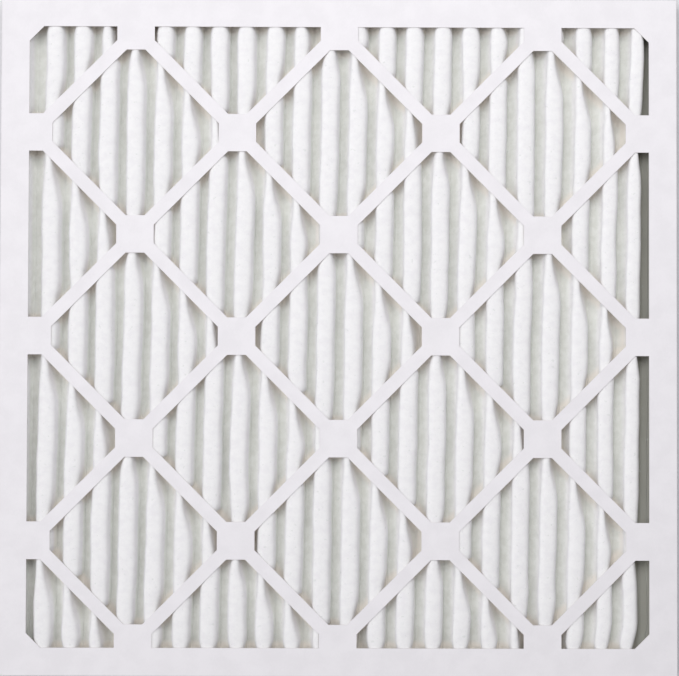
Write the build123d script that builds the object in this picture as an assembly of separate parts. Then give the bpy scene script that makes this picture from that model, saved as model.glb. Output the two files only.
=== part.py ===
from build123d import *
import os
from math import asin, atan2, cos, degrees, hypot, radians, sin

# Pleated panel air filter, lying flat. Millimetres.
# X runs across the pleats, Y along them and Z up through the panel's thickness.
# The origin is the centre of the rear face, which lies on z = 0. The front face looks up.

# Panel
panel_width = 495.3          # X
panel_length = 495.3         # Y
panel_depth = 19.05          # Z

# Frame board: both trays are die-cut and folded from it
board = 0.7
border = 20.6                # panel edge to the window
window_chamfer = 10.6        # leg of the cut across each corner of the window
tab_length = 32.0            # glue tab that turns each corner inside the outer tray
board_gap = 0.4              # clearance round a cut edge inside the frame
seam_groove = 0.35           # depth of the groove that the bend leaves at each corner seam

# Lattice across the window
diamonds_across = 3          # along X
diamonds_along = 3           # along Y
lattice_inset = 3.3          # window edge to the centres of the outermost pads
strip_width = 9.7
pad_size = 27.4

# Pleated media
pleat_spacing = 20.3         # wanted distance between two crests, shared out evenly
media_thickness = 2.6
fold_radius = 3.7            # at the middle of the media's thickness
media_tail = 1.0             # flat end beyond the last fold

# Support grid behind the media
wire = 0.9                   # thickness and width of every wire
cross_wire_spacing = 127.0   # wanted distance between the wires that follow the pleats, likewise

# Adhesive strips round the pleat pack
side_seal_thickness = 1.65
side_seal_height = 9.0
side_seal_round = 1.3        # radius of the side strip's inner top edge
end_seal_thickness = 2.0

# What follows from the sizes above
window_width = panel_width - 2 * border
window_length = panel_length - 2 * border
cavity_width = panel_width - 4 * board       # inside the inner tray's flaps
cavity_length = panel_length - 4 * board
cavity_floor = board
cavity_top = panel_depth - board

pack_width = cavity_width - 2 * (side_seal_thickness + media_tail)
pleat_count = max(2, round(pack_width / pleat_spacing))
pleat_pitch = pack_width / pleat_count
media_width = pack_width + 2 * media_tail
media_length = cavity_length - 2 * end_seal_thickness

# Fold centres, and the slope of the legs that join one fold to the next
crest_centre_z = cavity_top - media_thickness / 2 - fold_radius
root_centre_z = cavity_floor + wire + media_thickness / 2 + fold_radius
centre_rise = crest_centre_z - root_centre_z
centre_distance = hypot(pleat_pitch / 2, centre_rise)
leg_slope = atan2(centre_rise, pleat_pitch / 2) + asin(2 * fold_radius / centre_distance)

root_places = [-pack_width / 2 + pleat_pitch * k for k in range(pleat_count + 1)]
crest_places = [x + pleat_pitch / 2 for x in root_places[:-1]]


def block(low, high):
    """A box between two opposite corners."""
    size = [high[k] - low[k] for k in range(3)]
    return Pos(*low) * Box(*size, align=(Align.MIN, Align.MIN, Align.MIN))


def even_places(length, spacing):
    """Places spread evenly and symmetrically along a length, at about the spacing wanted."""
    count = max(1, round(length / spacing))
    pitch = length / count
    return [(k - (count - 1) / 2) * pitch for k in range(count)]


# ---------------------------------------------------------------- frame board

def lattice_pads():
    """Centres of the pads by column and row: every other place on a board of half diamonds."""
    reach_x = window_width - 2 * lattice_inset
    reach_y = window_length - 2 * lattice_inset
    columns = 2 * diamonds_across
    rows = 2 * diamonds_along
    step_x = reach_x / columns
    step_y = reach_y / rows
    return {
        (i, j): (-reach_x / 2 + i * step_x, -reach_y / 2 + j * step_y)
        for i in range(columns + 1)
        for j in range(rows + 1)
        if (i + j) % 2
    }


def strip(start, end):
    """A straight lattice strip between two pad centres."""
    run_x = end[0] - start[0]
    run_y = end[1] - start[1]
    middle = ((start[0] + end[0]) / 2, (start[1] + end[1]) / 2)
    turn = degrees(atan2(run_y, run_x))
    return Pos(*middle) * Rot(0, 0, turn) * Rectangle(hypot(run_x, run_y), strip_width)


def lattice_openings():
    """The openings that the die cuts in a tray's face, as one sketch."""
    window = Rectangle(window_width, window_length)
    window = chamfer(window.vertices(), window_chamfer)
    pads = lattice_pads()
    bars = [Pos(*place) * Rectangle(pad_size, pad_size) for place in pads.values()]
    for (i, j), place in pads.items():
        for neighbour in ((i + 1, j + 1), (i + 1, j - 1)):
            if neighbour in pads:
                bars.append(strip(place, pads[neighbour]))
    return window - bars


def tray(width, length, depth):
    """A folded tray open at z = 0, with its face on top and a bend round each edge of the face."""
    shell = Box(width, length, depth, align=(Align.CENTER, Align.CENTER, Align.MIN))
    shell = fillet(shell.faces().sort_by(Axis.Z)[-1].edges(), board)
    hollow = Box(
        width - 2 * board,
        length - 2 * board,
        depth - board,
        align=(Align.CENTER, Align.CENTER, Align.MIN),
    )
    return shell - hollow


def corners(piece):
    """A piece made for the corner at +X +Y, repeated at all four corners by mirroring."""
    pair = [piece, mirror(piece, Plane.YZ)]
    return pair + [mirror(one, Plane.XZ) for one in pair]


def front_frame():
    """Outer tray: face up, with its side walls down to z = 0 and a glue tab inside each corner."""
    half_x = panel_width / 2
    half_y = panel_length / 2
    frame = tray(panel_width, panel_length, panel_depth)
    openings = extrude(Pos(0, 0, panel_depth - board) * lattice_openings(), board)
    frame -= openings

    # The X walls end in a tab that bends round the corner and lies behind the Y wall.
    tab = block(
        (half_x - board - tab_length, half_y - 2 * board, cavity_floor + board_gap),
        (half_x - board, half_y - board, cavity_top - board_gap),
    )
    frame += corners(tab)

    # The bend into the tab leaves a groove under the end of the Y wall.
    seam_y = half_y - board
    groove = Polygon(
        (half_x, seam_y),
        (half_x, seam_y - seam_groove),
        (half_x - seam_groove, seam_y),
        align=None,
    )
    return frame - corners(extrude(groove, panel_depth - 2 * board))


def rear_frame():
    """Inner tray: face down on z = 0, its glue flaps up inside the outer tray's walls."""
    width = panel_width - 2 * board
    length = panel_length - 2 * board
    depth = panel_depth - board - board_gap
    frame = Rot(180, 0, 0) * tray(width, length, depth)
    frame = Pos(0, 0, depth) * frame
    frame -= extrude(lattice_openings(), board)

    # The flaps stop short of the outer tray's corner tabs.
    relief = block(
        (width / 2 - tab_length - board_gap, length / 2 - board - board_gap, board),
        (width / 2, length / 2, depth),
    )
    return frame - corners(relief)


# ---------------------------------------------------------------- pleated media

def media_surface(offset):
    """Edges of the media's surface at an offset above its middle, from one tail to the other."""
    turn = degrees(leg_slope)
    crest_r = fold_radius + offset
    root_r = fold_radius - offset
    tail_z = root_centre_z - root_r
    reach_x = crest_r * sin(leg_slope)
    crest_rise = crest_r * cos(leg_slope)
    root_reach = root_r * sin(leg_slope)
    root_drop = root_r * cos(leg_slope)

    edges = [
        Line((-media_width / 2, tail_z), (root_places[0], tail_z)),
        Line((root_places[-1], tail_z), (media_width / 2, tail_z)),
        CenterArc((root_places[0], root_centre_z), root_r, -90, turn),
        CenterArc((root_places[-1], root_centre_z), root_r, -90 - turn, turn),
    ]
    for x in root_places[1:-1]:
        edges.append(CenterArc((x, root_centre_z), root_r, -90 - turn, 2 * turn))
    for x in crest_places:
        edges.append(CenterArc((x, crest_centre_z), crest_r, 90 - turn, 2 * turn))
        for side in (-1, 1):
            edges.append(
                Line(
                    (x + side * reach_x, crest_centre_z + crest_rise),
                    (x + side * (pleat_pitch / 2 - root_reach), root_centre_z - root_drop),
                )
            )
    return edges


def pleated_media():
    """One folded sheet, glued to the lattice at its front folds."""
    upper = media_surface(media_thickness / 2)
    lower = media_surface(-media_thickness / 2)
    ends = [
        Line((x, cavity_floor + wire), (x, cavity_floor + wire + media_thickness))
        for x in (-media_width / 2, media_width / 2)
    ]
    section = make_face(upper + lower + ends)
    return extrude(Plane.XZ * section, media_length / 2, both=True)


# ---------------------------------------------------------------- support grid

def meet(centre, up, line_a, line_b):
    """Where two lines meet, each given by its normal's lean from the vertical and its distance."""
    (lean_a, reach_a), (lean_b, reach_b) = line_a, line_b
    spread = sin(lean_b - lean_a)
    x = (reach_b * cos(lean_a) - reach_a * cos(lean_b)) / spread
    z = (reach_a * sin(lean_b) - reach_b * sin(lean_a)) / spread
    return (centre[0] + x, centre[1] + up * z)


def grid_line(depth):
    """Points of a cross wire's surface at a depth below the media, from one tail to the other.

    The wire is creased flat under each crest, inside the media's fold, and round each root.
    """
    crest_r = fold_radius - media_thickness / 2
    root_r = fold_radius + media_thickness / 2
    crest_flat = crest_r * cos(leg_slope)
    crest_lines = [
        (-leg_slope, crest_r - depth),
        (0, crest_flat - depth),
        (leg_slope, crest_r - depth),
    ]
    root_lines = [(-leg_slope, root_r + depth), (0, root_r + depth), (leg_slope, root_r + depth)]
    tail_z = root_centre_z - root_r - depth

    points = [(-media_width / 2, tail_z)]
    for number, x in enumerate(root_places):
        root = (x, root_centre_z)
        corners_here = [meet(root, -1, a, b) for a, b in zip(root_lines, root_lines[1:])]
        if number == 0:
            corners_here = corners_here[1:]
        if number == pleat_count:
            corners_here = corners_here[:1]
        points += corners_here
        if number < pleat_count:
            crest = (crest_places[number], crest_centre_z)
            points += [meet(crest, 1, a, b) for a, b in zip(crest_lines, crest_lines[1:])]
    points.append((media_width / 2, tail_z))
    return points


def support_grid():
    """Wires that follow the back of the pleats, welded to straight wires along the rear folds."""
    outline = Polyline(*grid_line(0), *reversed(grid_line(wire)), close=True)
    section = Plane.XZ * make_face(outline)
    cross_wire = extrude(section, wire / 2, both=True)
    cross_wires = [
        Pos(0, y, 0) * cross_wire for y in even_places(media_length, cross_wire_spacing)
    ]
    long_wires = [
        Pos(x, 0, cavity_floor + wire / 2) * Box(wire, media_length, wire)
        for x in root_places
    ]
    return long_wires[0] + long_wires[1:] + cross_wires


# ---------------------------------------------------------------- adhesive strips

def end_seal(side):
    """The strip that closes the pleat ends against one Y wall."""
    outer = cavity_length / 2
    strip_body = block(
        (-cavity_width / 2, outer - end_seal_thickness, cavity_floor),
        (cavity_width / 2, outer, cavity_top),
    )
    return strip_body if side > 0 else mirror(strip_body, Plane.XZ)


def side_seal(side):
    """The strip that holds the media's tail against one X wall."""
    outer = cavity_width / 2
    strip_body = block(
        (outer - side_seal_thickness, -media_length / 2, cavity_floor),
        (outer, media_length / 2, cavity_floor + side_seal_height),
    )
    inner_top = strip_body.edges().filter_by(Axis.Y).group_by(Axis.Z)[-1].sort_by(Axis.X)[0]
    strip_body = fillet(inner_top, side_seal_round)
    return strip_body if side > 0 else mirror(strip_body, Plane.YZ)


parts = {
    "front_frame": front_frame(),
    "rear_frame": rear_frame(),
    "pleated_media": pleated_media(),
    "support_grid": support_grid(),
    "end_seal_back": end_seal(1),
    "end_seal_front": end_seal(-1),
    "side_seal_right": side_seal(1),
    "side_seal_left": side_seal(-1),
}

os.makedirs("parts", exist_ok=True)
for name, part in parts.items():
    export_step(part, f"parts/{name}.step")
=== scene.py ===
"""Looks of a pleated panel air filter: white lattice board, folded lofty media, wire grid and glue."""
import math

import bpy
from mathutils import Matrix, Vector


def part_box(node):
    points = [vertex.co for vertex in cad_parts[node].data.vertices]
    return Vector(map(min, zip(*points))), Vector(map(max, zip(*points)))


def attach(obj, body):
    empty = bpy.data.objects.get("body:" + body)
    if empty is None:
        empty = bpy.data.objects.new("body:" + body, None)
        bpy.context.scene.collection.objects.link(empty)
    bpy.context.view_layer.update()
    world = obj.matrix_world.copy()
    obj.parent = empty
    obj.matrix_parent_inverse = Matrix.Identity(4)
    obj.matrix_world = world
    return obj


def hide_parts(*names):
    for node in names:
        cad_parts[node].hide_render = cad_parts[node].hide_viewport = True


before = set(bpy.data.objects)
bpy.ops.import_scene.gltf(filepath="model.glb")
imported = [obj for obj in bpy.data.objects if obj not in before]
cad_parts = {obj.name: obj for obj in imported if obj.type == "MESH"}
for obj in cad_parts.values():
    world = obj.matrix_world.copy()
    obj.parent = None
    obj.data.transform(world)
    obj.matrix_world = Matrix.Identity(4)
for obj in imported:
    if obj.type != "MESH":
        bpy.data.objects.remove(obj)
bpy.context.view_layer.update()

MM = 0.001

# Panel sizes, read from the frame
panel_low, panel_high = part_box("front_frame")
media_low, media_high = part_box("pleated_media")
panel_width = panel_high.x - panel_low.x
panel_length = panel_high.y - panel_low.y
panel_depth = panel_high.z - panel_low.z
board = 0.7 * MM
border = 20.6 * MM
window_half = panel_width / 2 - border
window_cut = 10.6 * MM
pad_inset = 3.3 * MM
diamonds = 3
half_diamond = (window_half - pad_inset) / diamonds
strip_width = 9.7 * MM
pad_size = 27.4 * MM

# Media sizes
pleats = 24
media_tail = 1.0 * MM
pleat_pitch = (media_high.x - media_low.x - 2 * media_tail) / pleats
media_thickness = 2.6 * MM
media_length = media_high.y - media_low.y
# How far from the lattice the painted warm bounce light reaches into the media's folds.
bounce_light_reach = 5 * MM
# Width of the painted shade in the last valley by the right wall.
last_valley_width = 6 * MM
root_height = media_low.z + media_thickness
glued_height = media_high.z

# Support grid
wire = 0.9 * MM
cross_wire_spacing = 127.0 * MM


# ---------------------------------------------------------------- node formulas

class Field:
    """A value in a node tree, so that a formula there reads as arithmetic."""

    def __init__(self, tree, socket):
        self.tree = tree
        self.socket = socket

    def __add__(self, other):
        return calc(self.tree, "ADD", self, other)

    __radd__ = __add__

    def __mul__(self, other):
        return calc(self.tree, "MULTIPLY", self, other)

    __rmul__ = __mul__

    def __sub__(self, other):
        return calc(self.tree, "SUBTRACT", self, other)

    def __rsub__(self, other):
        return calc(self.tree, "SUBTRACT", other, self)

    def __truediv__(self, other):
        return calc(self.tree, "DIVIDE", self, other)

    def __rtruediv__(self, other):
        return calc(self.tree, "DIVIDE", other, self)

    def __abs__(self):
        return calc(self.tree, "ABSOLUTE", self)


def connect(tree, value, socket):
    """Feeds a socket from a field, or sets it."""
    if isinstance(value, Field):
        tree.links.new(value.socket, socket)
    else:
        socket.default_value = value


def calc(tree, operation, *values):
    node = tree.nodes.new("ShaderNodeMath")
    node.operation = operation
    for value, socket in zip(values, node.inputs):
        connect(tree, value, socket)
    return Field(tree, node.outputs[0])


def lower(a, b):
    return calc(a.tree, "MINIMUM", a, b)


def higher(a, b):
    return calc(a.tree, "MAXIMUM", a, b)


def whole(a):
    return calc(a.tree, "FLOOR", a)


def side_of(a):
    return calc(a.tree, "SIGN", a)


def wrapped(a, span):
    return calc(a.tree, "FLOORED_MODULO", a, span)


def at_whole(a, slack=0.004):
    """1 where a is a whole number, give or take the slack, and 0 elsewhere."""
    return calc(a.tree, "COMPARE", wrapped(a + 0.5, 1.0), 0.5, slack)


def between(a, b, share):
    """From a to b as share goes from 0 to 1."""
    return a + share * (b - a)


def ramp(a, start, end, low=0.0, high=1.0, smooth=True):
    """Maps a from start..end to low..high, held at both ends."""
    node = a.tree.nodes.new("ShaderNodeMapRange")
    node.interpolation_type = "SMOOTHSTEP" if smooth else "LINEAR"
    for name, value in (
        ("Value", a),
        ("From Min", start),
        ("From Max", end),
        ("To Min", low),
        ("To Max", high),
    ):
        connect(a.tree, value, node.inputs[name])
    return Field(a.tree, node.outputs["Result"])


def shaped(a, points):
    """A drawn curve through a few points, both ways from 0 to 1."""
    node = a.tree.nodes.new("ShaderNodeFloatCurve")
    curve = node.mapping.curves[0]
    curve.points[0].location = points[0]
    curve.points[1].location = points[-1]
    for x, y in points[1:-1]:
        curve.points.new(x, y)
    node.mapping.update()
    connect(a.tree, a, node.inputs["Value"])
    return Field(a.tree, node.outputs["Value"])


def joined(tree, x, y, z):
    node = tree.nodes.new("ShaderNodeCombineXYZ")
    for value, socket in zip((x, y, z), node.inputs):
        connect(tree, value, socket)
    return Field(tree, node.outputs[0])


def split(vector):
    node = vector.tree.nodes.new("ShaderNodeSeparateXYZ")
    connect(vector.tree, vector, node.inputs[0])
    return [Field(vector.tree, socket) for socket in node.outputs]


def stretched(vector, scale):
    node = vector.tree.nodes.new("ShaderNodeVectorMath")
    node.operation = "MULTIPLY"
    connect(vector.tree, vector, node.inputs[0])
    node.inputs[1].default_value = scale
    return Field(vector.tree, node.outputs[0])


def noise(vector, scale, detail=2.0, roughness=0.5, distortion=0.0):
    """Smooth noise, about 0.5 on average."""
    node = vector.tree.nodes.new("ShaderNodeTexNoise")
    for name, value in (
        ("Vector", vector),
        ("Scale", scale),
        ("Detail", detail),
        ("Roughness", roughness),
        ("Distortion", distortion),
    ):
        connect(vector.tree, value, node.inputs[name])
    return Field(vector.tree, node.outputs[0])


# ---------------------------------------------------------------- geometry trees

def geometry_tree(name, **inputs):
    """A tree and its inputs as fields, from the input names of each socket kind."""
    tree = bpy.data.node_groups.new(name, "GeometryNodeTree")
    for kind, titles in inputs.items():
        for title in titles:
            tree.interface.new_socket(title, in_out="INPUT", socket_type=f"NodeSocket{kind}")
    tree.interface.new_socket("Geometry", in_out="OUTPUT", socket_type="NodeSocketGeometry")
    entry = tree.nodes.new("NodeGroupInput")
    given = {socket.name: Field(tree, socket) for socket in entry.outputs if socket.name}
    return tree, given


def kept(geometry, name, value):
    """Stores a value on the points under a name, for a later tree."""
    node = value.tree.nodes.new("GeometryNodeStoreNamedAttribute")
    node.data_type = "FLOAT"
    node.domain = "POINT"
    node.inputs["Name"].default_value = name
    value.tree.links.new(geometry, node.inputs["Geometry"])
    connect(value.tree, value, node.inputs["Value"])
    return node.outputs["Geometry"]


def finish_tree(tree, geometry, material):
    """Realize Instances and Set Material, then out."""
    real = tree.nodes.new("GeometryNodeRealizeInstances")
    tree.links.new(geometry, real.inputs[0])
    paint = tree.nodes.new("GeometryNodeSetMaterial")
    tree.links.new(real.outputs[0], paint.inputs["Geometry"])
    tree.links.new(material.socket, paint.inputs["Material"])
    leave = tree.nodes.new("NodeGroupOutput")
    tree.links.new(paint.outputs[0], leave.inputs["Geometry"])


def made_by(tree, name, values):
    """Runs a tree once and keeps the plain mesh that comes out."""
    piece = bpy.data.objects.new(name, bpy.data.meshes.new(name))
    bpy.context.scene.collection.objects.link(piece)
    modifier = piece.modifiers.new("Build", "NODES")
    modifier.node_group = tree
    for item in tree.interface.items_tree:
        if item.in_out == "INPUT":
            modifier[item.identifier] = values[item.name]
    graph = bpy.context.evaluated_depsgraph_get()
    mesh = bpy.data.meshes.new_from_object(piece.evaluated_get(graph))
    piece.modifiers.remove(modifier)
    piece.data = mesh
    mesh.name = name
    return piece


def applied(piece):
    """Takes the piece's modifiers into its mesh."""
    graph = bpy.context.evaluated_depsgraph_get()
    mesh = bpy.data.meshes.new_from_object(piece.evaluated_get(graph))
    piece.modifiers.clear()
    piece.data = mesh
    return piece


# ---------------------------------------------------------------- shader helpers

def new_material(name):
    """A material with its tree, its Principled shader and the object coordinates."""
    material = bpy.data.materials.new(name)
    material.use_nodes = True
    tree = material.node_tree
    shader = tree.nodes["Principled BSDF"]
    place = tree.nodes.new("ShaderNodeTexCoord")
    return material, tree, shader, Field(tree, place.outputs["Object"])


def tint(red, green, blue):
    """An sRGB colour, each part 0 to 255, as the linear colour that sockets take."""
    parts = []
    for value in (red, green, blue):
        share = value / 255
        linear = share / 12.92 if share <= 0.04045 else ((share + 0.055) / 1.055) ** 2.4
        parts.append(linear)
    return (*parts, 1.0)


def colour_mix(tree, share, first, second):
    """From the first colour to the second as share goes from 0 to 1."""
    node = tree.nodes.new("ShaderNodeMix")
    node.data_type = "RGBA"
    connect(tree, share, node.inputs["Factor"])
    connect(tree, first, node.inputs[6])
    connect(tree, second, node.inputs[7])
    return Field(tree, node.outputs[2])


def bump(tree, shader, height, distance, strength=1.0):
    node = tree.nodes.new("ShaderNodeBump")
    node.inputs["Strength"].default_value = strength
    node.inputs["Distance"].default_value = distance
    connect(tree, height, node.inputs["Height"])
    tree.links.new(node.outputs["Normal"], shader.inputs["Normal"])


def shader_group(name, inputs, outputs):
    """A shader group with its inputs as fields, and the node that its outputs go to."""
    tree = bpy.data.node_groups.new(name, "ShaderNodeTree")
    for title, kind, default in inputs:
        socket = tree.interface.new_socket(title, in_out="INPUT", socket_type=f"NodeSocket{kind}")
        if default is not None:
            socket.default_value = default
    for title, kind in outputs:
        tree.interface.new_socket(title, in_out="OUTPUT", socket_type=f"NodeSocket{kind}")
    entry = tree.nodes.new("NodeGroupInput")
    leave = tree.nodes.new("NodeGroupOutput")
    fields = {title: Field(tree, entry.outputs[title]) for title, _, _ in inputs}
    return tree, fields, leave


def placed_group(tree, group, values):
    """Puts a group into a material and gives its outputs by name."""
    node = tree.nodes.new("ShaderNodeGroup")
    node.node_tree = group
    for title, value in values.items():
        connect(tree, value, node.inputs[title])
    return {socket.name: Field(tree, socket) for socket in node.outputs}


def paper_fibre_group():
    """Mottle and relief of pressed paper fibre."""
    group, given, leave = shader_group(
        "Paper fibre",
        [("Place", "Vector", None), ("Fibre Size", "Float", 1.2 * MM)],
        [("Mottle", "Float"), ("Relief", "Float")],
    )
    per_metre = 1.0 / given["Fibre Size"]
    x, y, z = split(given["Place"])
    fibres = noise(joined(group, x, y * 0.45, z), per_metre, 3.0, 0.65)
    cloud = noise(given["Place"], per_metre * 0.06, 3.0, 0.55)
    connect(group, cloud * 0.7 + fibres * 0.3, leave.inputs["Mottle"])
    connect(group, fibres, leave.inputs["Relief"])
    return group


# ---------------------------------------------------------------- the lattice

LATTICE = {
    "Half Diamond": half_diamond,
    "Strip Width": strip_width,
    "Pad Size": pad_size,
    "Window Half": window_half,
    "Corner Cut": window_cut,
}


def lattice_clearance(x, y, given):
    """Distance from a place on the face to the nearest strip or pad, below zero under one."""
    half = given["Half Diamond"]
    a = wrapped(x + y, half * 2) - half
    b = wrapped(x - y, half * 2) - half
    strip_a = abs(a) * math.sqrt(0.5) - given["Strip Width"] / 2
    strip_b = abs(b) * math.sqrt(0.5) - given["Strip Width"] / 2
    pad = higher(abs(a + b) / 2, abs(a - b) / 2) - given["Pad Size"] / 2
    return lower(lower(strip_a, strip_b), pad)


def border_clearance(x, y, given):
    """Distance inwards from the window's edge."""
    straight = given["Window Half"] - higher(abs(x), abs(y))
    corner = (given["Window Half"] * 2 - given["Corner Cut"] - abs(x) - abs(y)) * math.sqrt(0.5)
    return lower(straight, corner)


# ---------------------------------------------------------------- materials

def board_material(name, outside, paper):
    """Clay-coated board: white outside, brown inside, with the raw core showing at die-cut edges.

    outside gives the height above the tray's outer faces, from x, y and z.
    """
    material, tree, shader, place = new_material(name)
    x, y, z = split(place)
    fibre = placed_group(tree, paper, {"Place": place, "Fibre Size": 0.9 * MM})
    depth = outside(x, y, z)
    coated = ramp(depth, -0.45 * board, -0.35 * board, smooth=False)

    face = colour_mix(tree, ramp(fibre["Mottle"], 0.35, 0.65), tint(244, 241, 246), tint(239, 236, 241))
    liner = colour_mix(tree, ramp(fibre["Mottle"], 0.3, 0.7), tint(220, 208, 194), tint(204, 190, 174))
    core = tint(228, 225, 222)

    geometry = tree.nodes.new("ShaderNodeNewGeometry")
    bent = split(Field(tree, geometry.outputs["Normal"]))
    upright = ramp(abs(bent[2]), 0.3, 0.5, 1.0, 0.0)
    in_window = ramp(higher(abs(x), abs(y)), window_half + 0.3 * MM, window_half + 0.6 * MM, 1.0, 0.0)
    colour = colour_mix(tree, coated, liner, face)
    colour = colour_mix(tree, upright * in_window, colour, core)
    connect(tree, colour, shader.inputs["Base Color"])
    rough = ramp(coated, 0, 1, 0.85, 0.5) + (fibre["Relief"] - 0.5) * 0.12
    connect(tree, rough, shader.inputs["Roughness"])
    shader.inputs["Specular IOR Level"].default_value = 0.35
    bump(tree, shader, fibre["Relief"], 0.03 * MM, 0.6)
    return material


def front_outside(x, y, z):
    """Height above the outer tray's outer faces."""
    walls = higher(abs(x) - panel_width / 2, abs(y) - panel_length / 2)
    return higher(walls, z - panel_depth)


def rear_outside(x, y, z):
    """Height above the inner tray's outer faces."""
    walls = higher(abs(x) - (panel_width / 2 - board), abs(y) - (panel_length / 2 - board))
    return higher(walls, 0 - z)


def media_material():
    """Lofty polyester felt, with painted shade: lighter on the crests, darker and greenish deep in the
    folds, painted warm bounce light in the folds by the lattice, and painted shade in the last valley by
    the right wall.
    """
    material, tree, shader, place = new_material("Lofty polyester felt")
    x, y, z = split(place)
    geometry = tree.nodes.new("ShaderNodeNewGeometry")
    facing = split(Field(tree, geometry.outputs["Normal"]))[2]
    height = ramp(z, root_height, glued_height, smooth=False)
    rise = between(1 - height, height, ramp(facing, -0.2, 0.1))
    clumps = noise(place, 160.0, 3.0, 0.6)
    strands = noise(joined(tree, x * 1.6, y * 0.8, z), 900.0, 3.0, 0.65, 0.6)
    pits = noise(place, 340.0, 2.0, 0.5)

    # Painted shade: the folds take a darker, greener colour than the crests according to their depth
    # below the lattice, standing in for the shade and green-tinted bounce light in the valleys.
    crest = colour_mix(tree, ramp(clumps, 0.35, 0.68), tint(252, 250, 254), tint(245, 243, 248))
    fold = colour_mix(tree, ramp(clumps, 0.35, 0.65), tint(236, 237, 233), tint(228, 229, 224))
    colour = colour_mix(tree, ramp(rise, 0.15, 0.8), fold, crest)
    # Painted bounce light: folds near the strips, pads and top and bottom border are lifted towards a
    # warm white, standing in for light bounced off the board's brown underside.
    glue_line = lower(lattice_clearance(x, y, LATTICE), window_half - abs(y))
    near = ramp(glue_line, 0.0, bounce_light_reach, 1.0, 0.0)
    painted_bounce_light = near * ramp(rise, 0.35, 0.85, 1.0, 0.0)
    colour = colour_mix(tree, painted_bounce_light * 0.8, colour, tint(250, 243, 235))
    # Painted shade: the last valley by the right wall is darkened to grey, standing in for the shade in
    # the deep gap under the border.
    by_wall = ramp(x, window_half - 2 * last_valley_width, window_half - last_valley_width)
    painted_wall_shade = by_wall * ramp(rise, 0.3, 0.8, 1.0, 0.0)
    colour = colour_mix(tree, painted_wall_shade * 0.9, colour, tint(184, 184, 176))
    speck = ramp(pits, 0.66, 0.74)
    colour = colour_mix(tree, speck * 0.35, colour, tint(214, 218, 216))
    connect(tree, colour, shader.inputs["Base Color"])
    shader.inputs["Roughness"].default_value = 0.95
    shader.inputs["Specular IOR Level"].default_value = 0.12
    shader.inputs["Subsurface Weight"].default_value = 0.5
    shader.inputs["Subsurface Radius"].default_value = (1.0, 1.0, 1.0)
    shader.inputs["Subsurface Scale"].default_value = 1.4 * MM
    shader.inputs["Sheen Weight"].default_value = 0.12
    shader.inputs["Sheen Roughness"].default_value = 0.6
    bump(tree, shader, strands * 0.4 + clumps * 0.6, 0.9 * MM, 0.4)
    return material


def wire_material():
    """Galvanised wire, dull grey with spangle."""
    material, tree, shader, place = new_material("Galvanised wire")
    spangle = noise(place, 420.0, 2.0, 0.5)
    colour = colour_mix(tree, ramp(spangle, 0.35, 0.65), tint(196, 199, 203), tint(160, 164, 169))
    connect(tree, colour, shader.inputs["Base Color"])
    shader.inputs["Metallic"].default_value = 0.9
    connect(tree, ramp(spangle, 0.3, 0.7, 0.34, 0.5), shader.inputs["Roughness"])
    bump(tree, shader, spangle, 0.05 * MM, 0.5)
    return material


def glue_material():
    """Hot-melt adhesive, milky and a little wavy."""
    material, tree, shader, place = new_material("Hot-melt adhesive")
    waves = noise(place, 60.0, 2.0, 0.5)
    colour = colour_mix(tree, ramp(waves, 0.3, 0.7), tint(236, 231, 215), tint(222, 214, 192))
    connect(tree, colour, shader.inputs["Base Color"])
    shader.inputs["Roughness"].default_value = 0.38
    shader.inputs["Subsurface Weight"].default_value = 0.15
    shader.inputs["Subsurface Scale"].default_value = 1.0 * MM
    bump(tree, shader, waves, 0.6 * MM, 0.5)
    return material


# ---------------------------------------------------------------- pleated media

# Where single folds behave in their own way, each as the start and end of a blend
CROWDED_SIDE = (150 * MM, 220 * MM)
KINKED_SIDE = (150 * MM, 190 * MM)
KINK_NEAR_END = (-226 * MM, -208 * MM)
KINK_FAR_END = (-205 * MM, -175 * MM)

# Steps through the noise from one fold to the next, so that no two folds are alike
WANDER_STEP = 3.7
LOFT_STEP = 5.3


def crest_shift(number, y, given):
    """How far one crest has moved along X.

    The whole pack leans and each fold wanders, less so by the side walls. The last folds are
    drawn away from the right wall, and some have a kink near their lower end.
    """
    pitch = given["Pitch"]
    x = (number + 0.5 - given["Pleats"] / 2) * pitch
    wall = given["Pleats"] * pitch / 2
    freedom = ramp(wall - abs(x), 0.0, pitch * 1.4)
    lean = given["Lean"] + given["Lean Across"] * x + given["Lean Along"] * y + given["Lean Bow"] * x * x
    place = joined(number.tree, number * WANDER_STEP + given["Seed"], y, 0.0)
    wander = noise(stretched(place, (1.0, 9.0, 1.0)), 1.0, 3.5, 0.6)
    drawn = ramp(x, wall - pitch * 2.3, wall - pitch * 1.5, 0.0, given["Wall Pull"])
    bend = ramp(y, *KINK_NEAR_END, -1.6, 1.0) * ramp(y, *KINK_FAR_END, 1.0, 0.0)
    kink = bend * ramp(x, *KINKED_SIDE) * given["Corner Kink"]
    return (lean + (wander - 0.5) * given["Wander"]) * freedom - drawn + kink


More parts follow.
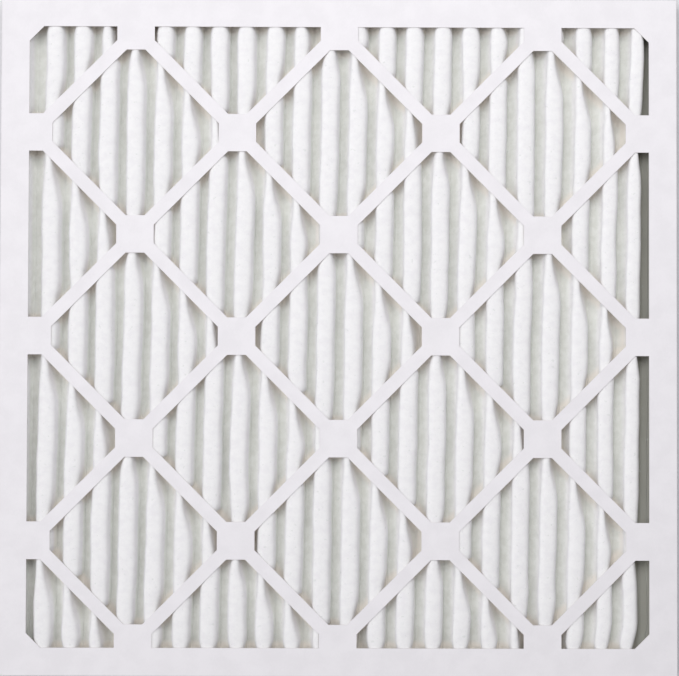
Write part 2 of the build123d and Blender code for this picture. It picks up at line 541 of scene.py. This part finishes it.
# Half a fold's section, from its crest at 0 to its root at 1, as two curves: the share of the half
# pitch and the share of the height. Between the strips a fold hangs over on its left and slopes
# away on its right, and where it is glued it is pinched thin.
LEFT_WIDTH = [
    (0, 0), (0.125, 0.23), (0.25, 0.46), (0.375, 0.6),
    (0.5, 0.42), (0.625, 0.46), (0.75, 0.62), (1, 1),
]
LEFT_HEIGHT = [
    (0, 1), (0.125, 0.998), (0.25, 0.96), (0.375, 0.86),
    (0.5, 0.7), (0.75, 0.31), (0.875, 0.12), (1, 0),
]
RIGHT_WIDTH = [
    (0, 0), (0.125, 0.26), (0.25, 0.457), (0.375, 0.62),
    (0.5, 0.724), (0.75, 0.861), (1, 1),
]
RIGHT_HEIGHT = [
    (0, 1), (0.125, 0.995), (0.25, 0.965), (0.375, 0.885),
    (0.5, 0.75), (0.75, 0.34), (0.875, 0.14), (1, 0),
]
GLUED_WIDTH = [(0, 0), (0.125, 0.13), (0.25, 0.225), (0.5, 0.32), (0.75, 0.56), (1, 1)]
GLUED_HEIGHT = [(0, 1), (0.125, 0.985), (0.25, 0.91), (0.5, 0.63), (0.75, 0.28), (0.875, 0.1), (1, 0)]


def side_openness(x, y, given):
    """How far a fold has opened on its left and on its right, from 0 at a strip to 1.

    The strip above a place holds that side of the fold shut for longer than the strip below it.
    """
    cell = given["Half Diamond"] * 2
    over_falling = wrapped(x + y - given["Half Diamond"], cell)
    over_rising = wrapped(y - x - given["Half Diamond"], cell)

    def opened(under, over, reach):
        away_under = under * math.sqrt(0.5) - given["Strip Width"] / 2
        away_over = over * math.sqrt(0.5) - given["Strip Width"] / 2
        below_strip = ramp(away_under, 0.0, reach)
        above_strip = ramp(away_over, 0.0, given["Reach Above"], given["Open Above"], 1.0)
        return below_strip * above_strip

    left = opened(cell - over_rising, over_falling, given["Reach Below Left"])
    right = opened(cell - over_falling, over_rising, given["Reach Below Right"])
    return between(right * given["Left Hold"], 1.0, left), right


def pleat_tree():
    """The front surface of the folded media, pinched where it is glued to the lattice."""
    tree, given = geometry_tree(
        "Pleated sheet",
        Int=("Pleats", "Columns", "Rows"),
        Float=(
            "Pitch", "Length", "Tail", "Root Height", "Glued Height", "Open Height", "Rise Reach",
            *LATTICE,
            "Reach Below Left", "Reach Below Right", "Left Hold", "Reach Above", "Open Above",
            "Squeeze", "Border Reach", "Border Openness", "Loft Variation", "Loft Waves",
            "Lean", "Lean Across", "Lean Along", "Lean Bow", "Wander", "Root Lag",
            "Wall Crowding", "Wall Pull", "Corner Kink", "Last Fold Height", "Seed",
        ),
        Material=("Material",),
    )
    grid = tree.nodes.new("GeometryNodeMeshGrid")
    for title, value in (
        ("Size X", given["Pleats"]),
        ("Size Y", given["Length"]),
        ("Vertices X", given["Columns"]),
        ("Vertices Y", given["Rows"]),
    ):
        connect(tree, value, grid.inputs[title])
    position = tree.nodes.new("GeometryNodeInputPosition")
    across, y, _ = split(Field(tree, position.outputs[0]))

    count = across + given["Pleats"] / 2
    number = lower(whole(count + 0.00001), given["Pleats"] - 1)
    phase = count - number - 0.5
    side = side_of(phase)
    share = lower(abs(phase) * 2, 1.0)

    own = crest_shift(number, y, given)
    next_one = crest_shift(number + side, y, given)
    centre = (number + 0.5 - given["Pleats"] / 2) * given["Pitch"]
    crest_x = centre + own

    left, right = side_openness(crest_x, y, given)
    rim = ramp(
        border_clearance(crest_x, y, given), -2 * MM, given["Border Reach"], given["Border Openness"], 1.0
    )
    opened = lower(left, right) * rim
    squeeze = (right - left) * given["Squeeze"]

    loft_place = joined(tree, number * LOFT_STEP + given["Seed"], y * given["Loft Waves"], side * 0.8)
    loft = (noise(loft_place, 1.0, 2.0) - 0.5) * given["Loft Variation"]
    on_right = (side + 1) / 2
    open_width = between(shaped(share, LEFT_WIDTH), shaped(share, RIGHT_WIDTH), on_right)
    open_height = between(shaped(share, LEFT_HEIGHT), shaped(share, RIGHT_HEIGHT), on_right)
    width = between(shaped(share, GLUED_WIDTH), open_width, opened)
    crowded = on_right * ramp(crest_x, *CROWDED_SIDE) * given["Wall Crowding"]
    width = width * (1 + loft * (1 - share)) * (1 - crowded * (1 - share))
    height = between(shaped(share, GLUED_HEIGHT), open_height, opened)

    bare = lower(lattice_clearance(crest_x, y, given), border_clearance(crest_x, y, given))
    top = ramp(bare, 0.5 * MM, given["Rise Reach"], given["Glued Height"], given["Open Height"])

    inside = ramp(abs(across), given["Pleats"] / 2 - 0.02, given["Pleats"] / 2 - 0.6, 0.0, 1.0)
    root_shift = (own + next_one) / 2 + given["Root Lag"]
    shift = between(own + squeeze, root_shift * inside, share * share)
    edge = side_of(across) * ramp(abs(across), given["Pleats"] / 2 - 0.02, given["Pleats"] / 2)
    x = centre + shift + side * width * given["Pitch"] / 2 + edge * given["Tail"]
    last = calc(tree, "GREATER_THAN", number, given["Pleats"] - 1.5)
    height = height * (1 - last * (1 - given["Last Fold Height"]))
    z = between(given["Root Height"], top, height)

    move = tree.nodes.new("GeometryNodeSetPosition")
    tree.links.new(kept(grid.outputs["Mesh"], "Pleat count", count), move.inputs["Geometry"])
    connect(tree, joined(tree, x, y, z), move.inputs["Position"])
    smooth = tree.nodes.new("GeometryNodeSetShadeSmooth")
    tree.links.new(move.outputs[0], smooth.inputs["Geometry"])
    finish_tree(tree, smooth.outputs[0], given["Material"])
    return tree


def wire_tree():
    """Wires behind the folded sheet: one along each rear fold, and cross wires that follow the folds."""
    tree, given = geometry_tree(
        "Support wires",
        Object=("Sheet",),
        Float=("Sheet Thickness", "Wire", "Cross Spacing"),
        Int=("Pleats", "Cross Wires"),
        Material=("Material",),
    )
    sheet = tree.nodes.new("GeometryNodeObjectInfo")
    tree.links.new(given["Sheet"].socket, sheet.inputs["Object"])
    normal = Field(tree, tree.nodes.new("GeometryNodeInputNormal").outputs[0])
    back = tree.nodes.new("ShaderNodeVectorMath")
    back.operation = "SCALE"
    connect(tree, normal, back.inputs[0])
    connect(tree, 0 - given["Sheet Thickness"] - given["Wire"] / 2, back.inputs["Scale"])
    behind = tree.nodes.new("GeometryNodeSetPosition")
    tree.links.new(sheet.outputs["Geometry"], behind.inputs["Geometry"])
    tree.links.new(back.outputs[0], behind.inputs["Offset"])

    number = tree.nodes.new("GeometryNodeInputNamedAttribute")
    number.data_type = "FLOAT"
    number.inputs["Name"].default_value = "Pleat count"
    count = Field(tree, number.outputs["Attribute"])
    inner = calc(tree, "LESS_THAN", abs(count - given["Pleats"] / 2), given["Pleats"] / 2 - 0.5)
    along_root = at_whole(count) * inner
    position = tree.nodes.new("GeometryNodeInputPosition")
    _, y, _ = split(Field(tree, position.outputs[0]))
    rung = y / given["Cross Spacing"] - (given["Cross Wires"] - 1) / 2
    in_reach = calc(tree, "LESS_THAN", abs(y), given["Cross Spacing"] * given["Cross Wires"] / 2)

    curve = tree.nodes.new("GeometryNodeMeshToCurve")
    tree.links.new(behind.outputs[0], curve.inputs["Mesh"])
    connect(tree, higher(along_root, at_whole(rung) * in_reach), curve.inputs["Selection"])
    section = tree.nodes.new("GeometryNodeCurvePrimitiveCircle")
    section.inputs["Resolution"].default_value = 6
    connect(tree, given["Wire"] / 2, section.inputs["Radius"])
    rod = tree.nodes.new("GeometryNodeCurveToMesh")
    tree.links.new(curve.outputs[0], rod.inputs["Curve"])
    tree.links.new(section.outputs[0], rod.inputs["Profile Curve"])
    rod.inputs["Fill Caps"].default_value = True
    finish_tree(tree, rod.outputs[0], given["Material"])
    return tree


def build_wires(sheet, material):
    cross_wires = round(media_length / cross_wire_spacing)
    return made_by(
        wire_tree(),
        "support_wires",
        {
            "Sheet": sheet,
            "Sheet Thickness": media_thickness,
            "Pleats": pleats,
            "Wire": wire,
            "Cross Spacing": media_length / cross_wires,
            "Cross Wires": cross_wires,
            "Material": material,
        },
    )


def build_media(material):
    """The front surface of the folded sheet."""
    columns_per_pleat = 16
    rows = 112
    return made_by(
        pleat_tree(),
        "pleated_sheet",
        {
            "Pleats": pleats,
            "Columns": pleats * columns_per_pleat + 1,
            "Rows": rows + 1,
            "Pitch": pleat_pitch,
            "Length": media_length,
            "Tail": media_tail,
            "Root Height": root_height,
            "Glued Height": glued_height - 0.05 * MM,
            "Open Height": panel_depth - 0.1 * MM,
            "Rise Reach": 12 * MM,
            **LATTICE,
            "Reach Below Left": 12 * MM,
            "Reach Below Right": 25 * MM,
            "Left Hold": 0.95,
            "Reach Above": 14 * MM,
            "Open Above": 0.62,
            "Squeeze": 2.6 * MM,
            "Border Reach": 6 * MM,
            "Border Openness": 0.65,
            "Loft Variation": 0.52,
            "Loft Waves": 34.0,
            "Lean": 0.4 * MM,
            "Lean Across": 0.0093,
            "Lean Along": 0.0158,
            "Lean Bow": 0.062,
            "Root Lag": -2.2 * MM,
            "Wall Crowding": 0.45,
            "Wall Pull": 2.0 * MM,
            "Corner Kink": 0.9 * MM,
            "Last Fold Height": 0.08,
            "Wander": 5.5 * MM,
            "Seed": 4.0,
            "Material": material,
        },
    )


def thicken(sheet):
    """Gives the sheet its thickness, behind the front surface."""
    shell = sheet.modifiers.new("Loft", "SOLIDIFY")
    shell.thickness = media_thickness
    shell.offset = -1.0
    shell.use_rim = True
    return applied(sheet)


# ---------------------------------------------------------------- stage

def floor_material():
    material, tree, shader, place = new_material("Studio floor")
    grain = noise(place, 90.0, 3.0, 0.6)
    colour = colour_mix(tree, ramp(grain, 0.3, 0.7), tint(226, 226, 228), tint(222, 222, 225))
    connect(tree, colour, shader.inputs["Base Color"])
    shader.inputs["Roughness"].default_value = 0.8
    return material


def build_floor():
    reach = 6.0
    mesh = bpy.data.meshes.new("studio_floor")
    corners = [(-reach, -reach, 0), (reach, -reach, 0), (reach, reach, 0), (-reach, reach, 0)]
    mesh.from_pydata(corners, [], [(0, 1, 2, 3)])
    floor = bpy.data.objects.new("studio_floor", mesh)
    bpy.context.scene.collection.objects.link(floor)
    mesh.materials.append(floor_material())


def build_camera():
    """Looks straight down from 1.2 m, a touch off square."""
    stand = (-3.281 * MM, -26.739 * MM, 1.2)
    turns = [(1.2417, "X"), (-0.1914, "Y"), (0.1754, "Z")]
    camera = bpy.data.cameras.new("Camera")
    camera.sensor_width = 36.0
    camera.lens = 85.71
    holder = bpy.data.objects.new("Camera", camera)
    bpy.context.scene.collection.objects.link(holder)
    place = Matrix.Translation(stand)
    for degrees, axis in turns:
        place = place @ Matrix.Rotation(math.radians(degrees), 4, axis)
    holder.matrix_world = place
    bpy.context.scene.camera = holder


def area_light(name, place, size, power):
    """A square soft box at a place, aimed at the panel's middle."""
    light = bpy.data.lights.new(name, "AREA")
    light.shape = "SQUARE"
    light.size = size
    light.energy = power
    holder = bpy.data.objects.new(name, light)
    bpy.context.scene.collection.objects.link(holder)
    holder.location = place
    holder.rotation_mode = "QUATERNION"
    holder.rotation_quaternion = Vector(place).to_track_quat("Z", "Y")


def build_light():
    """A large soft box on the left, a smaller one above the top edge, and an even fill."""
    area_light("Left softbox", place=(-1.75, 0.3, 2.85), size=2.4, power=48.0)
    area_light("Top softbox", place=(0.12, 0.55, 1.12), size=0.8, power=6.4)
    world = bpy.data.worlds.new("Studio")
    world.use_nodes = True
    back = world.node_tree.nodes["Background"]
    back.inputs["Color"].default_value = (1.0, 1.0, 1.0, 1.0)
    back.inputs["Strength"].default_value = 0.3
    bpy.context.scene.world = world
    bpy.context.scene.view_settings.view_transform = "Standard"


# ---------------------------------------------------------------- the filter

def dress(node, material):
    """Gives a CAD node its material."""
    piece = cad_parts[node]
    for slot in piece.material_slots:
        slot.material = material


paper = paper_fibre_group()
dress("front_frame", board_material("Outer tray board", front_outside, paper))
dress("rear_frame", board_material("Inner tray board", rear_outside, paper))
glue = glue_material()
for seal in ("end_seal_back", "end_seal_front", "side_seal_right", "side_seal_left"):
    dress(seal, glue)

media = build_media(media_material())
wires = build_wires(media, wire_material())
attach(wires, "root")
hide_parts("support_grid")

media = thicken(media)
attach(media, "root")
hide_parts("pleated_media")

build_floor()
build_camera()
build_light()
